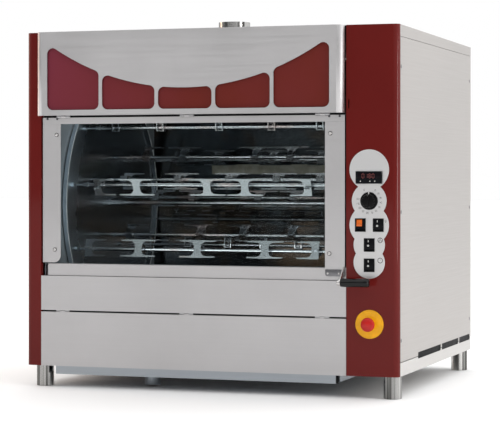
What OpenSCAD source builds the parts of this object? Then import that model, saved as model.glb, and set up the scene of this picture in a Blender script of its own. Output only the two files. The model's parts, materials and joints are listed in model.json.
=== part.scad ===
// Planetary rotisserie oven with a glass door, seen from the front along +Y.
// Origin: middle of the footprint, on the floor.  +X is to the right, +Z is up.

/* [Cabinet] */
// Overall width over both columns
width = 1155; // [1140:1:1160]
// Depth from the front plane of the columns to the rear panel
depth = 949; // [935:1:955]
// Height of the shell above the feet
shell_h = 1000; // [995:1:1010]
// Height of the feet
foot_h = 64; // [60:1:80]
// Radius of a foot
foot_r = 26; // [22:1:30]
// Thickness of the casing sheet
skin = 1.5; // [1.2:0.1:1.8]
// Width of the left column
left_col_w = 47; // [38:1:50]
// Width of the right column, which carries the controls
right_col_w = 154.5; // [150:0.5:156]
// Radius of the outer corners of the columns
col_corner_r = 16.5; // [14:0.5:17]
// Height of the side strip under the side panels
strip_h = 39; // [36:1:42]
// Height of the roof's side flange
lid_flange = 34; // [30:1:38]
// Radius of the exhaust stub
flue_r = 49; // [45:1:52]
// Height of the exhaust stub above the top of the hood
flue_h = 48; // [45:1:60]
// How much lower the roof is at the rear than at the front
roof_fall = 8; // [0:1:10]

/* [Front] */
// Height of the hinged lower flap
flap_h = 162; // [160:1:166]
// Height of the fixed panel above the flap
fascia_h = 103; // [100:1:103]
// Height of the sill under the door
sill_h = 38; // [36:1:40]
// Height of the hood over the door
hood_h = 250; // [245:1:252]
// How far the hood stands in front of the columns
hood_reach = 23; // [20:1:26]
// Radius of the hood's front corners
hood_corner_r = 20; // [16:1:22]
// Width of one hood window
window_w = 167; // [160:1:168]
// Distance between the middles of the hood windows
window_pitch = 178; // [176:0.5:180]
// Radius of the curve that the windows' top edges follow
window_curve_r = 766; // [700:1:850]
// Corner radius of a hood window
window_corner_r = 18; // [12:1:20]

/* [Door] */
// Width of the door's left rail
left_rail_w = 58; // [50:1:64]
// Width of the door's right rail
right_rail_w = 59; // [55:1:68]
// Height of the door's top rail
top_rail_h = 19; // [17:1:22]
// Thickness of the door glass
glass_t = 5; // [4:0.5:5]
// Radius of the handle's grip
grip_r = 12.5; // [11:0.5:14]
// Length of the handle's grip
grip_len = 84; // [75:1:90]
// Distance of the grip's axis in front of the columns
grip_reach = 40; // [36:1:44]

/* [Rotor] */
// Radius of the two rotor discs
disc_r = 380; // [376:1:382]
// Radius of the circle of outer spits
outer_ring_r = 325; // [320:1:328]
// Radius of the circle of inner spits
inner_ring_r = 150; // [145:1:155]
// Radius of a planet wheel
wheel_r = 40; // [36:1:44]
// Radius of the centre shaft
shaft_r = 7; // [6:0.5:8]
// Radius of a spit's rod
rod_r = 5.75; // [5:0.25:6.5]
// Distance from the middle of a fork's plate to its prongs' outer edges
prong_offset = 27; // [24:1:28]
// Distance from a spit's axis to the middle of a fork's plate
plate_offset = 22; // [14:1:22]
// Reach of a prong along the spit, from the middle of its fork
prong_len = 57; // [50:1:58]

/* [Controls] */
// Radius of the timer knob
knob_r = 25.5; // [23:0.5:28]
// Radius of the emergency stop's yellow plate
stop_plate_r = 41; // [40:1:46]
// Radius of the emergency stop's mushroom head
mushroom_r = 20; // [18:1:22]

/* [Drip tray] */
// Depth of the tray from front to back
tray_depth = 540; // [450:10:600]
// Height of the tray
tray_h = 26; // [26:1:30]

/* [Hidden] */
$fn = 96;
OUTER_COUNT = 10;
INNER_COUNT = 5;
OUTER_NODES = [for (i = [1:OUTER_COUNT]) str("outer_spit_", i)];
INNER_NODES = [for (i = [1:INNER_COUNT]) str("inner_spit_", i)];

eps = 0.2;                                  // seam between plates of one piece
fit = 0.05;                                 // radial clearance of a running fit
gap = 0.3;                                  // clearance between faces that pass each other

// Planes of the cabinet
xl = -width / 2;
xr = width / 2;
yf = -(depth - grip_reach - grip_r) / 2;    // front plane of the columns
yb = yf + depth;
zb = foot_h;
zt = foot_h + shell_h;
xil = xl + left_col_w;                      // left and right edges of the front opening
xir = xr - right_col_w;
xmid = (xil + xir) / 2;
col_d = 17.5;                               // depth of the columns
hood_xl = xil - 7.2;                        // the hood overlaps the left column
hood_xr = xir - 3.5;
hood_mid = xmid - 6.5;                      // the middle of the hood's windows
flange_fall = 3;                            // fall of the roof flange's lower edge

// Exhaust stub: where it stands and where its full radius starts, just above the roof
flue_y = yf + 400;
flue_seat = zt - 2.5;

// Heights of the front panels
panel_gap = 5;
z_flap_top = zb + flap_h;
z_fascia = z_flap_top + panel_gap;
z_sill = z_fascia + fascia_h;
z_sill_top = z_sill + sill_h;
z_hood = zt - hood_h;
door_gap = 6;
z_door_top = z_hood - door_gap;
panel_d = 18;
edge_gap = 0.6;
sill_y = yf + 7;

// Hinges: pivots, knuckles and where they stand along X
flap_pivot = [yf + 1, z_flap_top + panel_gap / 2];
flap_knuckle_r = 1.7;
flap_pin_r = 0.9;
door_pivot = [yf + 5.5, z_hood - 4];
door_knuckle_r = 3.5;
door_pin_r = 1.8;
knuckle_len = 14;
hinge_x = [xmid - 405, xmid - 10, xmid + 405];

// Door
door_front = yf + 3.5;
door_side_gap = 5;
rail_t = 2;
xdl = xil + door_side_gap;
xdr = xir - door_side_gap;
z_left_rail = z_sill_top + 2;
z_right_rail = z_sill_top - 5;
bracket_h = 21;
z_bracket = z_right_rail - bracket_h;
grip_z = z_sill - 2.5;
lever_t = 5;
lever_x = xdr - 5;

// Cooking cavity, inner faces
cxl = xl + 52;
cxr = xr - 165;
cyf = yf + 22;
cyb = yf + 905;
czb = zb + 75;
czt = zb + 895;
wall = 2;

// Rotor: its axis, and places along it
rotor_y = yf + 516;
rotor_z = zb + 483;
disc_t = 3;
xd_left = xl + 57;                          // outer faces of the two discs
xd_right = cxr - 18;
x_tip = xd_left + 5;
x_wheel = cxr - 14;
wheel_t = 8;
x_rod_end = cxr - 4;
rim_d = 12;
bush_r = 7;
bush_len = 9;
tip_r = 3;
tip_len = 39;
outer_start = 169.5;
inner_start = 150;
sun_r = inner_ring_r - wheel_r - gap;
track_r = outer_ring_r + wheel_r + gap;
track_t = 7;
x_sprocket = cxr + 16;
sprocket_t = 5;
big_pitch_r = 60;
small_pitch_r = 30;
motor_z = zb + 190;

// Forks
prong_h = 5.5;
prong_tip_h = 3.5;
plate_thick = 2.5;
web_w = 23;
web_fillet = 15;
leg_t = 2.5;
leg_reach = 11;                             // how far the legs pass behind the rod
leg_h = 13;                                 // half the height of a leg at the rod
bridge_t = 3;
// Places of the forks along a spit, from the middle of the opening
FORK_PLACES = [
    [-408, -243, -50, 166, 324],
    [-367, -239, -10, 111, 308],
    [-365, -181, -11, 144, 285],
    [-354, -115, 28, 187, 304],
    [-352, -203, -9, 160, 314],
    [-354, -226, 20, 137, 290],
    [-358, -219, -82, 39, 156]];
// Which row of places each spit uses, and how far it is turned about its own axis
OUTER_ROWS = [1, 0, 2, 3, 5, 6, 4, 0, 1, 4];
OUTER_ROLLS = [19, -12, 30, 75, 120, -75, 200, 230, 260, -90];
INNER_ROWS = [2, 3, 6, 1, 5];
INNER_ROLLS = [165, 207, 250, 170, 206];

// Controls, as distances from the right edge and the bottom of the shell
xc = xr - 86.5;
plate_t = 2;
PLATE_LOBES = [[587, 58], [499, 51], [430, 58], [374, 46], [324, 46]];   // height, radius
display_z = zb + 565;
display_w = 77;
display_h = 35;
knob_z = zb + 498.5;
knob_d = 19;
stop_x = xr - 85.5;
stop_z = zb + 148.5;
rocker_w = 25;
rocker_h = 32;
bezel_w = 31;
bezel_h = 38;
rocker_tilt = 10;
ROCKERS = [[xc - 25.5, zb + 430], [xc + 27, zb + 430], [xc + 0.5, zb + 373.5], [xc + 0.5, zb + 316]];
BUTTONS = [-24, 4, 18];                      // along X, from the middle of the display
button_r = 3.2;
button_z = display_z - 10.5;

// Drip tray
xtl = xil + 40;
xtr = xir - 35.5;
lip_d = 41;
lip_y = yf + 20;

module span(lo, hi) {
    translate(lo) cube(hi - lo);
}

// A bar along X with the given end points and a YZ centre
module bar_x(x0, x1, y, z, r) {
    translate([x0, y, z]) rotate([0, 90, 0]) cylinder(r = r, h = x1 - x0);
}

// A disc or hole along Y, from y0 to y1
module bar_y(y0, y1, x, z, r) {
    translate([x, y0, z]) rotate([-90, 0, 0]) cylinder(r = r, h = y1 - y0);
}

// A folded panel, open at the back
module pan(x0, x1, z0, z1, y0, d) {
    difference() {
        span([x0, y0, z0], [x1, y0 + d, z1]);
        span([x0 + skin, y0 + skin, z0 + skin], [x1 - skin, y0 + d + 1, z1 - skin]);
    }
}

// A rectangular tube along X or Y, given by its outer corners
module tube(lo, hi, along, t = 2) {
    inset = along == "x" ? [-1, t, t] : [t, -1, t];
    difference() {
        span(lo, hi);
        span(lo + inset, hi - inset);
    }
}

module on_rotor(angle, r) {
    translate([0, rotor_y + r * cos(angle), rotor_z + r * sin(angle)]) children();
}

module at_outer(i) {
    on_rotor(outer_start + i * 360 / OUTER_COUNT, outer_ring_r) children();
}

module at_inner(i) {
    on_rotor(inner_start + i * 360 / INNER_COUNT, inner_ring_r) children();
}

// ---- Cabinet ----

foot_places = [[xr - 27, yf + 34], [xr - 27, yb - 53], [xl + 41, yf + 45], [xl + 41, yb - 53]];
slot_spans = [[yf + 227, yf + 518], [yf + 534, yf + 762], [yf + 778, yf + 930]];
slot_low = 33;
slot_high = 52;

// Top of the floor of the drive bay, behind the right column
bay_floor = zb + 32.5;

module side_member(x0, x1) {
    difference() {
        span([x0, yf + col_d + 1, zb], [x1, yb - skin - 1, zb + strip_h]);
        span([x0 + 2, yf + col_d, zb + 3], [x1 - 2, yb, zb + strip_h + 1]);
        for (s = slot_spans)
            span([x0 - 1, s[0], zb + slot_low], [x1 + 1, s[1], zb + strip_h + 1]);
    }
}

module base_frame() {
    color("silver") {
        side_member(xr - 60, xr);
        side_member(xl, xl + 60);
        for (y = [yf + 62, yb - 100])
            tube([xl + 60 + eps, y, zb], [xr - 60 - eps, y + 40, zb + 30], "x");
        for (x = [xl + 200, xr - 230])
            tube([x, yf + 102 + eps, zb + 4], [x + 30, yb - 100 - eps, zb + 30], "y");
        span([xr - 200, yf + 62, zb + 30 + eps], [xr - 60 - eps, yb - 60, bay_floor]);
        for (x = [xtl - 16, xtr + 10])
            difference() {
                span([x, yf + 62, zb - 9], [x + 6, yf + 560, zb - eps]);
                span([x + (x < 0 ? 3 : -1), yf + 60, zb - 6],
                     [x + (x < 0 ? 7 : 3), yf + 561, zb - 1.5]);
            }
    }
}

module feet() {
    color("gainsboro")
        for (p = foot_places)
            translate([p[0], p[1], 0]) rotate_extrude()
                polygon([[0, 0], [foot_r - 1.5, 0], [foot_r, 1.5], [foot_r, foot_h - eps],
                         [foot_r - 2.5, foot_h - eps], [foot_r - 2.5, 4], [0, 4]]);
}

// A plate or block standing across X, its outline given as (Y, Z) points
module side_shape(x0, x1, points) {
    translate([x0, 0, 0]) rotate([90, 0, 90]) linear_extrude(x1 - x0) polygon(points);
}

module side_panel(x0) {
    z0 = zb + strip_h + 2;
    z1 = zt - lid_flange - 1;
    difference() {
        side_shape(x0, x0 + skin, [[yf + col_d + 1, z0], [yb - skin - eps, z0],
                                   [yb - skin - eps, z1 - flange_fall], [yf + col_d + 1, z1]]);
        for (s = slot_spans)
            span([x0 - 1, s[0], zb + strip_h], [x0 + skin + 1, s[1], zb + slot_high]);
    }
}

module left_side_panel() {
    color("silver") side_panel(xl);
}

module right_side_panel() {
    color("silver") side_panel(xr - skin);
}

module rear_panel() {
    louvre_rows = 9;
    color("silver")
        difference() {
            span([xl + 2, yb - skin, zb + 4], [xr - 2, yb, zt - lid_flange - flange_fall - 1]);
            for (side = [-1, 1], i = [0:louvre_rows - 1])
                span([side * 370 - 70, yb - 5, zb + 120 + i * 16],
                     [side * 370 + 70, yb + 1, zb + 126 + i * 16]);
        }
}

module top_cover() {
    color("silver")
        difference() {
            side_shape(xl, xr, [[yf + col_d + 1, zt - lid_flange], [yf + col_d + 1, zt],
                                [yb, zt - roof_fall], [yb, zt - lid_flange - flange_fall]]);
            side_shape(xl + skin, xr - skin,
                       [[yf + col_d, zt - lid_flange - 9], [yf + col_d, zt - skin],
                        [yb - skin, zt - roof_fall - skin], [yb - skin, zt - lid_flange - 9]]);
            translate([xmid, flue_y, zt - 12]) cylinder(r = flue_r - 0.3, h = 20);
        }
}

module exhaust_stub() {
    color("gainsboro")
        translate([xmid, flue_y, 0])
            difference() {
                union() {
                    translate([0, 0, flue_seat]) cylinder(r = flue_r, h = zt + flue_h - flue_seat);
                    translate([0, 0, zt - 9]) cylinder(r = flue_r - 0.6, h = 12);
                    translate([0, 0, zt - 9]) cylinder(r = flue_r + 16, h = 3);
                }
                translate([0, 0, zt - 10]) cylinder(r = flue_r - 2.5, h = flue_h + 20);
            }
}

// Plan of a column: its front, its rounded outer corner and its side
module column_plan(w, inset) {
    r = col_corner_r - inset;
    translate([inset, inset]) {
        square([w - col_corner_r - inset, col_d]);
        translate([w - col_corner_r - inset, r]) circle(r);
        translate([0, r]) square([w - 2 * inset, col_d - r + inset]);
    }
}

module column(w) {
    difference() {
        linear_extrude(shell_h) intersection() {
            column_plan(w, 0);
            square([w, col_d]);
        }
        translate([0, 0, skin]) linear_extrude(shell_h - 2 * skin) column_plan(w, skin);
    }
}

module left_column() {
    color("maroon")
        translate([xil, yf, zb]) mirror([1, 0, 0]) column(left_col_w);
}

module right_column() {
    color("maroon")
        difference() {
            translate([xir, yf, zb]) column(right_col_w);
            control_holes();
            span([xir + 6, yf - 1, zb + 763], [xir + 9, yf + 3, zb + 787]);
        }
}

module hood_outline(inset) {
    w = hood_xr - hood_xl - 2 * inset;
    r = hood_corner_r - inset;
    back = hood_reach - gap - 2 * inset;
    translate([hood_xl + inset, yf - hood_reach + inset])
        intersection() {
            square([w, back]);
            union() {
                for (x = [r, w - r]) translate([x, r]) circle(r);
                translate([r, 0]) square([w - 2 * r, back]);
                translate([0, r]) square([w, back]);
            }
        }
}

// One hood window; its top edge follows a curve centred over the hood
module hood_window(i) {
    offset(r = window_corner_r) offset(delta = -window_corner_r)
        difference() {
            translate([hood_mid + i * window_pitch - window_w / 2, z_hood + 16])
                square([window_w, hood_h - 45]);
            translate([hood_mid, z_hood + 78 + window_curve_r]) circle(window_curve_r, $fn = 240);
        }
}

module hood_panel() {
    color("gainsboro")
        difference() {
            union() {
                translate([0, 0, z_hood]) linear_extrude(hood_h) hood_outline(0);
                span([xil + gap, yf - 1, z_hood], [hood_xr, yf + 9, z_hood + skin]);
                span([xil + gap, yf - 1, zt - skin], [hood_xr, yf + col_d + 0.8, zt]);
            }
            translate([0, 0, z_hood + skin]) linear_extrude(hood_h - 2 * skin) {
                hood_outline(skin);
                translate([xil + gap + skin, yf - 3])
                    square([hood_xr - xil - gap - 2 * skin, 13]);
            }
            for (i = [-2:2])
                translate([0, yf - hood_reach + 3, 0]) rotate([90, 0, 0])
                    linear_extrude(5) hood_window(i);
        }
}

module hood_backing() {
    color("firebrick")
        span([hood_xl + 12, yf - hood_reach + 6.5, z_hood + 6],
             [hood_xr - 12, yf - hood_reach + 8, zt - 8]);
}

module cavity_liner() {
    color("lightsteelblue") {
        difference() {
            span([cxl - wall, cyf + wall + eps, czb - wall], [cxl, cyb + wall, czt + wall]);
            bar_x(cxl - wall - 1, cxl + 1, rotor_y, rotor_z, shaft_r + 3);
        }
        difference() {
            span([cxr, cyf + wall + eps, czb - wall], [cxr + wall, cyb + wall, czt + wall]);
            bar_x(cxr - 1, cxr + wall + 1, rotor_y, rotor_z, shaft_r + 3);
        }
        span([cxl + eps, cyb, czb - wall], [cxr - eps, cyb + wall, czt + wall]);
        difference() {
            span([cxl + eps, cyf + wall + eps, czb - wall], [cxr - eps, cyb - eps, czb]);
            translate([xmid, flue_y, czb - 10]) cylinder(r = 40, h = 20);
        }
        difference() {
            span([cxl + eps, cyf + wall + eps, czt], [cxr - eps, cyb - eps, czt + wall]);
            translate([xmid, flue_y, czt - 10]) cylinder(r = flue_r, h = 20);
        }
        span([cxl - wall, cyf, czb - wall], [cxr + wall, cyf + wall, z_sill_top - 8]);
        span([cxl - wall, cyf, z_hood + skin + 0.5], [cxr + wall, cyf + wall, czt + wall]);
    }
}

module sill() {
    x0 = xil + 20;
    color("gainsboro")
        difference() {
            side_shape(x0, xir - edge_gap, [
                [sill_y, z_sill + 1], [sill_y, z_sill_top - 2], [sill_y + 2, z_sill_top],
                [cyf + 12, z_sill_top - 1.5], [cyf + 12, z_sill_top - 3],
                [sill_y + 2.6, z_sill_top - 1.6], [sill_y + skin, z_sill_top - 2.6],
                [sill_y + skin, z_sill + 1]]);
            span([cxr - gap, cyf - gap, z_sill], [xir, cyf + 13, z_sill_top + 1]);
        }
}

module upper_fascia() {
    color("gainsboro")
        pan(xil + edge_gap, xir - edge_gap, z_fascia, z_sill, yf, panel_d);
}

// Knuckles that stay with the cabinet, one at each side of the moving one, and their pins
module panel_hinges() {
    half = knuckle_len / 2;
    color("dimgray")
        for (x = hinge_x) {
            for (s = [-1, 1]) {
                x0 = x + s * (knuckle_len + gap) - half;
                bar_x(x0, x0 + knuckle_len, flap_pivot[0], flap_pivot[1], flap_knuckle_r);
                span([x0, flap_pivot[0] - 0.6, flap_pivot[1]],
                     [x0 + knuckle_len, flap_pivot[0] + 0.6, z_fascia]);
                bar_x(x0, x0 + knuckle_len, door_pivot[0], door_pivot[1], door_knuckle_r);
                span([x0, door_pivot[0] - 1, door_pivot[1]],
                     [x0 + knuckle_len, door_pivot[0] + 1, z_hood]);
            }
            bar_x(x - half - 1, x + half + 1, flap_pivot[0], flap_pivot[1], flap_pin_r);
            bar_x(x - half - 1, x + half + 1, door_pivot[0], door_pivot[1], door_pin_r);
        }
}

module heating_elements() {
    element_r = 4;
    element_rows = [yf + 130, yf + 190, yf + 250, yf + 640, yf + 710, yf + 780];
    color("dimgray")
        for (y = element_rows) {
            bar_x(cxl + 12, cxr - 0.1, y, czt - 18, element_r);
            for (x = [cxl + 60, cxr - 60])
                span([x, y - 6, czt - 13.9], [x + 8, y + 6, czt - 0.1]);
        }
}

module rear_lamp_bar() {
    color("ivory")
        span([cxl + 220, cyb - 17, zb + 576], [cxr - 10, cyb - 0.1, zb + 608]);
}

// ---- Rotor and drive ----

module planet_tracks() {
    x0 = x_wheel - 0.5;
    color("gray")
        on_rotor(0, 0) translate([x0, 0, 0]) rotate([0, 90, 0]) {
            difference() {
                cylinder(r = track_r + track_t, h = cxr - x0 - 0.1, $fn = 180);
                translate([0, 0, -1]) cylinder(r = track_r, h = cxr - x0 + 2, $fn = 180);
            }
            difference() {
                cylinder(r = sun_r, h = cxr - x0 - 0.1);
                translate([0, 0, -1]) cylinder(r = sun_r - 12, h = cxr - x0 + 2);
            }
        }
}

module bearing(x0, x1) {
    on_rotor(0, 0) translate([x0, 0, 0]) rotate([0, 90, 0])
        difference() {
            union() {
                cylinder(r = 32, h = 5);
                cylinder(r = 18, h = x1 - x0);
            }
            translate([0, 0, -1]) cylinder(r = shaft_r + fit, h = x1 - x0 + 2);
        }
}

module shaft_bearings() {
    color("slategray") {
        mirror([1, 0, 0]) bearing(-cxl + wall + 0.1, -cxl + wall + 20);
        bearing(cxr + wall + 0.1, cxr + wall + 12);
    }
}

module gear_motor() {
    x0 = x_sprocket + sprocket_t + 6;
    color("slategray")
        difference() {
            union() {
                span([x0, rotor_y - 45, motor_z - 45], [x0 + 55, rotor_y + 45, motor_z + 45]);
                bar_x(x0 + 55, x0 + 120, rotor_y, motor_z, 38);
                span([x0 + 4, rotor_y - 55, bay_floor + eps], [x0 + 30, rotor_y + 55, motor_z - 44]);
            }
            bar_x(x0 - 1, x0 + 30, rotor_y, motor_z, 8 + fit);
        }
}

module sprocket_shape(pitch_r, teeth) {
    difference() {
        circle(pitch_r - gap);
        for (i = [0:teeth - 1]) rotate(i * 360 / teeth) translate([pitch_r, 0]) circle(3.2);
    }
}

module shaft_sprocket() {
    color("dimgray")
        translate([x_sprocket, rotor_y, rotor_z]) rotate([0, 90, 0])
            difference() {
                union() {
                    linear_extrude(sprocket_t) sprocket_shape(big_pitch_r, 30);
                    cylinder(r = 16, h = sprocket_t + 8);
                }
                translate([0, 0, -1]) cylinder(r = shaft_r + fit, h = sprocket_t + 12);
            }
}

module motor_sprocket() {
    color("dimgray")
        translate([x_sprocket, rotor_y, motor_z]) rotate([0, 90, 0]) {
            linear_extrude(sprocket_t) sprocket_shape(small_pitch_r, 15);
            cylinder(r = 8, h = sprocket_t + 30);
        }
}

module drive_chain() {
    run = rotor_z - motor_z;
    color("dimgray")
        translate([x_sprocket + 0.5, rotor_y, motor_z]) rotate([0, 90, 0]) rotate(180)
            linear_extrude(sprocket_t - 1)
                difference() {
                    hull() {
                        circle(small_pitch_r + 5, $fn = 48);
                        translate([run, 0]) circle(big_pitch_r + 5, $fn = 72);
                    }
                    hull() {
                        circle(small_pitch_r + gap, $fn = 48);
                        translate([run, 0]) circle(big_pitch_r + gap, $fn = 72);
                    }
                }
}

module cable_gland() {
    color("black")
        translate([xr - 160, yb - 80, zb - 26])
            difference() {
                union() {
                    cylinder(r = 11, h = 25.8);
                    translate([0, 0, 12]) cylinder(r = 15, h = 9, $fn = 6);
                }
                translate([0, 0, -1]) cylinder(r = 7, h = 22);
            }
}

module left_disc() {
    x1 = xd_left + disc_t;
    color("lightsteelblue")
        difference() {
            union() {
                bar_x(xd_left, x1, rotor_y, rotor_z, disc_r, $fn = 240);
                bar_x(xd_left, x1 + 3, rotor_y, rotor_z, 24);
                on_rotor(0, 0) translate([xd_left, 0, 0]) rotate([0, 90, 0])
                    difference() {
                        cylinder(r = disc_r, h = rim_d, $fn = 240);
                        translate([0, 0, -1]) cylinder(r = disc_r - 3, h = rim_d + 2, $fn = 240);
                    }
                for (i = [0:OUTER_COUNT - 1]) at_outer(i) bush(x1);
                for (i = [0:INNER_COUNT - 1]) at_inner(i) bush(x1);
            }
            bar_x(xd_left - 1, x1 + 5, rotor_y, rotor_z, shaft_r + fit);
            for (i = [0:OUTER_COUNT - 1]) at_outer(i) bush_bore();
            for (i = [0:INNER_COUNT - 1]) at_inner(i) bush_bore();
        }
}

module bush(x1) {
    bar_x(x1 - 1, x1 + bush_len, 0, 0, bush_r, $fn = 48);
}

module bush_bore() {
    bar_x(x_tip - 1, x_tip + 30, 0, 0, tip_r + fit, $fn = 48);
}

module right_disc() {
    color("lightsteelblue")
        difference() {
            union() {
                bar_x(xd_right, xd_right + disc_t, rotor_y, rotor_z, disc_r, $fn = 240);
                bar_x(xd_right - 8, xd_right + disc_t, rotor_y, rotor_z, 24);
            }
            bar_x(xd_right - 9, xd_right + disc_t + 1, rotor_y, rotor_z, shaft_r + fit);
            for (i = [0:OUTER_COUNT - 1]) at_outer(i) rod_hole();
            for (i = [0:INNER_COUNT - 1]) at_inner(i) rod_hole();
        }
}

module rod_hole() {
    bar_x(xd_right - 1, xd_right + disc_t + 1, 0, 0, rod_r + fit, $fn = 48);
}

module centre_shaft() {
    x1 = xd_left + disc_t + 3;
    color("gainsboro") {
        bar_x(xl + 30, x_sprocket + 18, rotor_y, rotor_z, shaft_r);
        on_rotor(0, 0) translate([x1, 0, 0]) rotate([0, 90, 0])
            difference() {
                union() {
                    cylinder(r = 13.5, h = 33);
                    cylinder(r = 10.5, h = 52);
                    translate([0, 0, 43]) rotate([90, 0, 0]) wing_screw(19.5, 20.5, 4.6);
                }
                translate([0, 0, -1]) cylinder(r = shaft_r + fit, h = 60);
            }
    }
}

// A screw standing on +Z, with two round wings that have their middles at a given height
module wing_screw(length, at, wing_r) {
    cylinder(r = 2.6, h = length, $fn = 32);
    for (s = [-1, 1])
        translate([s * (wing_r + 0.4), -1.1, at]) rotate([-90, 0, 0])
            cylinder(r = wing_r, h = 2.2, $fn = 32);
}

// Outline of a fork's plate: a web that is narrow at the rod, with tapered prongs at both ends
module fork_shape(left, right) {
    translate([-web_w / 2, -prong_offset]) square([web_w, 2 * prong_offset]);
    if (left) mirror([1, 0]) prong_pair();
    if (right) prong_pair();
}

// The two prongs at one end, with the fillets that join them to the web
module prong_pair() {
    x0 = web_w / 2 - 1;
    low = prong_offset - prong_h;
    tip_low = prong_offset - (prong_h + prong_tip_h) / 2;
    for (s = [-1, 1]) {
        difference() {
            translate([x0, s > 0 ? low - web_fillet : -low - 0.5])
                square([web_fillet, web_fillet + 0.5]);
            translate([web_w / 2 + web_fillet, s * (low - web_fillet)])
                circle(web_fillet, $fn = 48);
        }
        polygon([[x0, s * low], [x0, s * prong_offset],
                 [prong_len, s * (tip_low + prong_tip_h)], [prong_len, s * tip_low]]);
    }
}

// A fork on a spit along X: a plate in front of the rod, two legs that the rod passes through,
// and a clamping screw.  A fork at an end of the spit has its screw at the front, and the others
// have it between the plate and the rod.
module fork(left, right) {
    y_plate = -plate_offset - plate_thick / 2;
    at_end = !(left && right);
    leg_x = web_w / 2 - leg_t;
    difference() {
        union() {
            translate([0, y_plate + plate_thick, 0]) rotate([90, 0, 0])
                linear_extrude(plate_thick) fork_shape(left, right);
            for (x = [-web_w / 2, leg_x])
                side_shape(x, x + leg_t, [
                    [y_plate + 1, -leg_h - 3], [y_plate + 1, leg_h + 3], [0, leg_h],
                    [leg_reach, leg_h - 4], [leg_reach, 4 - leg_h], [0, -leg_h]]);
            span([-web_w / 2, leg_reach - bridge_t, 4 - leg_h],
                 [web_w / 2, leg_reach, leg_h - 4]);
            if (at_end)
                translate([0, y_plate + 1, 0]) rotate([90, 0, 0]) wing_screw(10, 11, 4.6);
            else
                translate([0, y_plate + 1, 0]) rotate([-90, 0, 0]) wing_screw(18, 9, 3.8);
        }
        bar_x(-web_w, web_w, 0, 0, rod_r + fit, $fn = 48);
    }
}

// One spit at the origin, with forks at the given row of places, turned about its axis by roll
module spit(row, roll) {
    places = FORK_PLACES[row];
    last = len(places) - 1;
    color("gainsboro") rotate([roll, 0, 0]) {
        bar_x(x_tip, x_tip + tip_len + 1, 0, 0, tip_r, $fn = 48);
        bar_x(x_tip + tip_len, x_rod_end, 0, 0, rod_r, $fn = 48);
        bar_x(x_tip + tip_len + 12, x_tip + tip_len + 18, 0, 0, rod_r + 2.5, $fn = 48);
        bar_x(xd_right - 8, xd_right - 2, 0, 0, rod_r + 4, $fn = 48);
        bar_x(x_wheel, x_wheel + wheel_t, 0, 0, wheel_r);
        for (i = [0:last])
            translate([xmid + places[i], 0, 0]) fork(i > 0, i < last);
    }
}

module outer_spit(i) {
    at_outer(i) spit(OUTER_ROWS[i], OUTER_ROLLS[i]);
}

module inner_spit(i) {
    at_inner(i) spit(INNER_ROWS[i], INNER_ROLLS[i]);
}

// ---- Door, flap and tray ----

// A knuckle in the middle of each hinge, with the bore that turns on the pin
module moving_knuckles(pivot, r, tab_t, z_panel) {
    for (x = hinge_x) {
        bar_x(x - knuckle_len / 2, x + knuckle_len / 2, pivot[0], pivot[1], r);
        span([x - knuckle_len / 2, pivot[0] - tab_t / 2, z_panel],
             [x + knuckle_len / 2, pivot[0] + tab_t / 2, pivot[1]]);
    }
}

module knuckle_bores(pivot, r) {
    for (x = hinge_x)
        bar_x(x - knuckle_len, x + knuckle_len, pivot[0], pivot[1], r + fit);
}

module door_rails() {
    rear = door_front + rail_t;
    z_side = z_door_top - top_rail_h - eps;
    fixed_len = 3 * knuckle_len + 4 * gap;
    corner = 16;
    color("gainsboro") {
        difference() {
            union() {
                difference() {
                    span([xdl, door_front, z_side + eps], [xdr, rear, z_door_top]);
                    for (x = hinge_x)
                        span([x - fixed_len / 2, door_front - 1, door_pivot[1] - door_knuckle_r - gap],
                             [x + fixed_len / 2, rear + 1, z_door_top + 1]);
                }
                moving_knuckles([door_pivot[0], door_pivot[1]], door_knuckle_r, 2 * rail_t - 2,
                                door_pivot[1] - door_knuckle_r - 2);
            }
            knuckle_bores(door_pivot, door_pin_r);
        }
        side_rail(xdl, left_rail_w, z_left_rail, z_side, true);
        side_rail(xdr - right_rail_w, right_rail_w, z_right_rail, z_side, false);
        translate([xdr - right_rail_w, rear, 0]) rotate([90, 0, 0]) linear_extrude(rail_t)
            difference() {
                translate([0, z_bracket]) square([right_rail_w, bracket_h - eps]);
                difference() {
                    translate([-1, z_bracket - 1]) square([corner / 2 + 1, corner / 2 + 1]);
                    translate([corner / 2, z_bracket + corner / 2]) circle(corner / 2);
                }
            }
    }
}

// A side rail of the door; its inner lower corner may be rounded
module side_rail(x0, w, z0, z1, rounded) {
    r = 22;
    translate([x0, door_front + rail_t, 0]) rotate([90, 0, 0]) linear_extrude(rail_t)
        difference() {
            translate([0, z0]) square([w, z1 - z0]);
            if (rounded)
                difference() {
                    translate([w - r, z0 - 1]) square([r + 1, r + 1]);
                    translate([w - r, z0 + r]) circle(r);
                }
        }
}

module door_glass() {
    y0 = door_front + rail_t + 0.1;
    color("lightblue", 0.35)
        span([xdl + 3, y0, z_sill_top + 0.8], [xdr - 3, y0 + glass_t, z_door_top - 9]);
}

module door_handle() {
    gy = yf - grip_reach;
    color("black") bar_x(lever_x + lever_t, lever_x + lever_t + grip_len, gy, grip_z, grip_r);
    color("gainsboro") {
        translate([lever_x, 0, 0]) rotate([90, 0, 90]) linear_extrude(lever_t)
            difference() {
                union() {
                    polygon([[door_front, z_bracket + 2], [door_front, z_right_rail + 8],
                             [door_front - 7, z_right_rail + 5], [gy, grip_z + 9],
                             [gy, grip_z - 9]]);
                    translate([gy, grip_z]) circle(10);
                }
            }
        bar_x(lever_x - 7, lever_x, gy, grip_z, 8);
    }
}

module lower_flap() {
    color("gainsboro")
        difference() {
            union() {
                pan(xil + edge_gap, xir - edge_gap, zb, z_flap_top, yf, panel_d);
                moving_knuckles(flap_pivot, flap_knuckle_r, 1.2, z_flap_top - 1);
            }
            knuckle_bores(flap_pivot, flap_pin_r);
        }
}

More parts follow.
